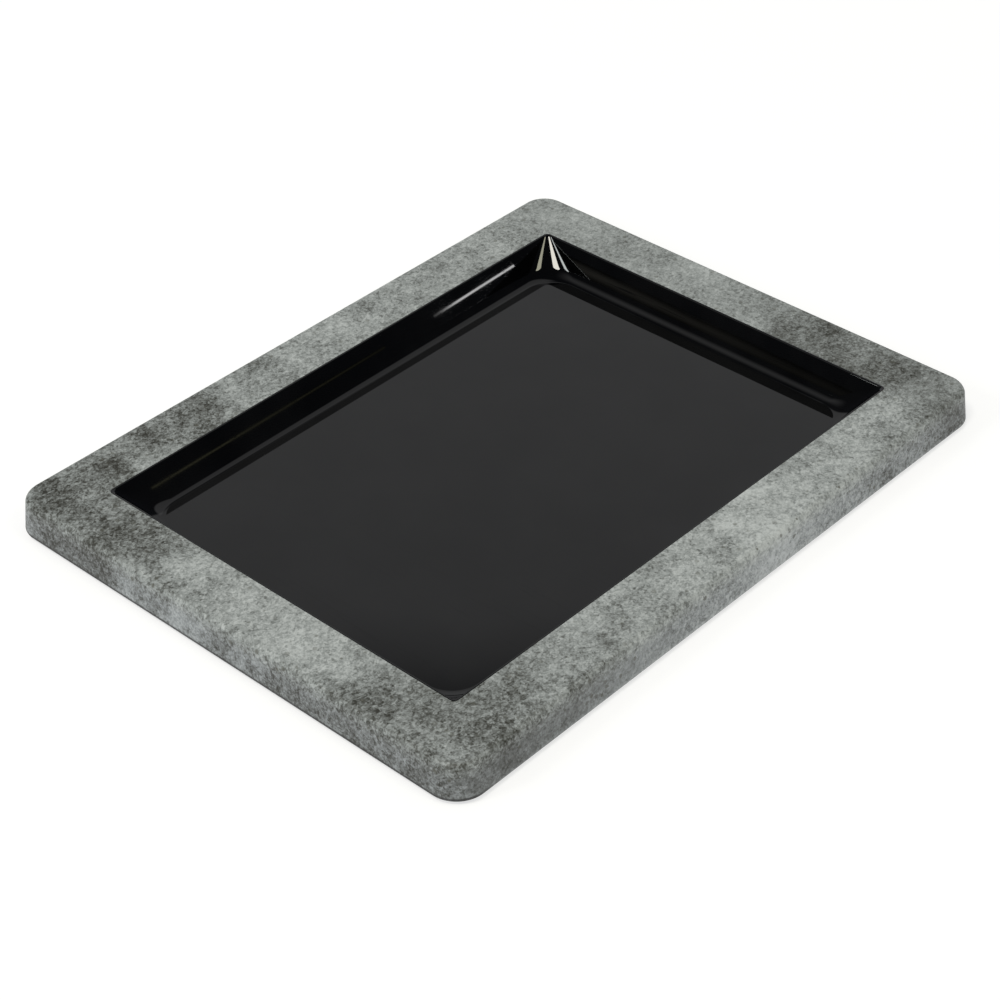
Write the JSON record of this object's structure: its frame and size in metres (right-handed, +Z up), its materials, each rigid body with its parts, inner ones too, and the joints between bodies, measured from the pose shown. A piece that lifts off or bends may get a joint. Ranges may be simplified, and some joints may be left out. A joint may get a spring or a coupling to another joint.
{
  "type": "serving tray",
  "caption": "Rectangular serving tray: a shallow black basin with leaning walls inside a wide flat rim and skirt of grey stone finish, on small anti-slip pads.",
  "frame": {"origin": "centre of the tray's footprint, on the table under the pads", "axes": "+X along the tray's length, +Y across it, +Z up, out of the basin"},
  "size_m": [0.35, 0.27, 0.019],
  "materials": {
    "black_melamine": "high-gloss pressed melamine, black",
    "stone_print": "satin printed melamine foil with a grey speckled stone look",
    "silicone": "matte dark grey silicone"
  },
  "bodies": {
    "root": {"moulded_body": "black_melamine", "stone_foil": "stone_print", "pad_front_left": "silicone", "pad_front_right": "silicone", "pad_back_left": "silicone", "pad_back_right": "silicone"}
  },
  "joints": []
}
